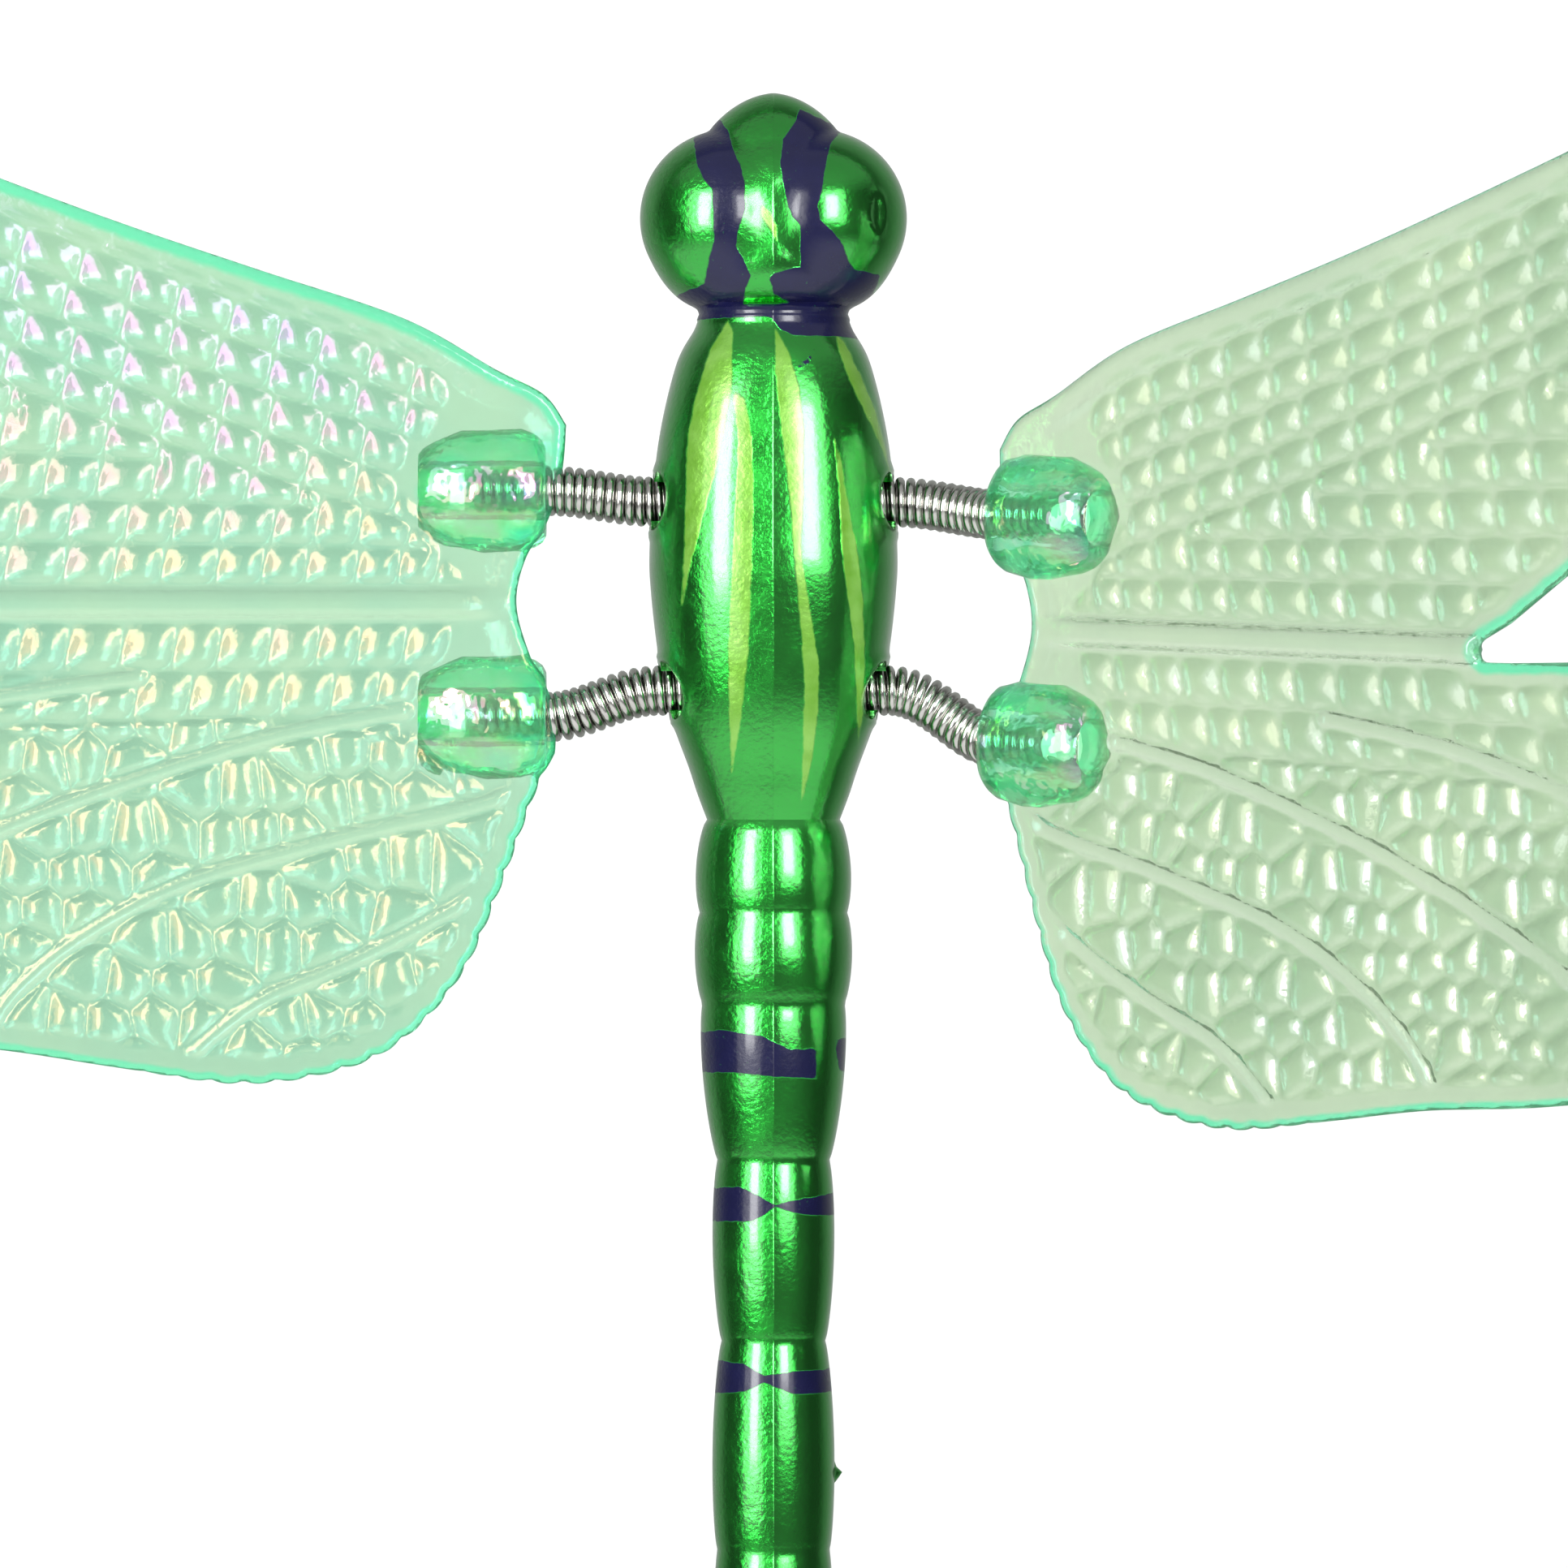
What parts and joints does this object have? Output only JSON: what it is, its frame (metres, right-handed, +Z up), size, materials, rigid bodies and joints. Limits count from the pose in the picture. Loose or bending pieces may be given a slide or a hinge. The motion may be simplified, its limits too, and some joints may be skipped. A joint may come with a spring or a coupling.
{
  "type": "motion wing decoy",
  "caption": "Dragonfly decoy with a hollow metallised body and two translucent wing mouldings that flap and twist on coil springs, over a stake socket.",
  "frame": {"origin": "centre of the stake socket's mouth, under the thorax", "axes": "+Z up out of the back, along the stake; +Y towards the head; +X towards the right wing"},
  "size_m": [0.279, 0.222, 0.109],
  "materials": {
    "metallised_green": "metallised and lacquered green",
    "iridescent_green": "translucent, iridescent coating",
    "spring_steel": "bright wire",
    "dark_plastic": "satin",
    "natural_plastic": "satin"
  },
  "bodies": {
    "thorax": {"body_shell_left": "metallised_green", "body_shell_right": "metallised_green", "stake_socket": "dark_plastic", "spring_core_front": "natural_plastic", "spring_core_rear": "natural_plastic"},
    "left_springs": {"spring_front_left": "spring_steel", "spring_rear_left": "spring_steel"},
    "left_wing": {"wing_left": "iridescent_green", "spring_plug_front_left": "natural_plastic", "spring_plug_rear_left": "natural_plastic"},
    "right_springs": {"spring_front_right": "spring_steel", "spring_rear_right": "spring_steel"},
    "right_wing": {"wing_right": "iridescent_green", "spring_plug_front_right": "natural_plastic", "spring_plug_rear_right": "natural_plastic"}
  },
  "joints": [
    {"name": "left_flap", "type": "hinge", "parent": "thorax", "child": "left_springs", "pos_m": [-0.0142, 0, 0.015], "axis": [0, 1, 0], "range_deg": [-40, 50], "stiffness_Nm_per_rad": 0.12, "springref_deg": 5.3, "deforming": ["spring_front_left", "spring_rear_left"]},
    {"name": "left_twist", "type": "hinge", "parent": "left_springs", "child": "left_wing", "pos_m": [-0.0224, -0.00075, 0.015], "axis": [1, 0, 0], "range_deg": [-12, 12], "stiffness_Nm_per_rad": 0.35, "springref_deg": -0.1},
    {"name": "right_flap", "type": "hinge", "parent": "thorax", "child": "right_springs", "pos_m": [0.0142, 0, 0.015], "axis": [0, -1, 0], "range_deg": [-82, 8], "stiffness_Nm_per_rad": 0.12, "springref_deg": 4.18, "deforming": ["spring_front_right", "spring_rear_right"]},
    {"name": "right_twist", "type": "hinge", "parent": "right_springs", "child": "right_wing", "pos_m": [0.0223, -0.0033, 0.0192], "axis": [0.7424, -0.0436, 0.6685], "range_deg": [-12, 12], "stiffness_Nm_per_rad": 0.35, "springref_deg": -0.1}
  ]
}
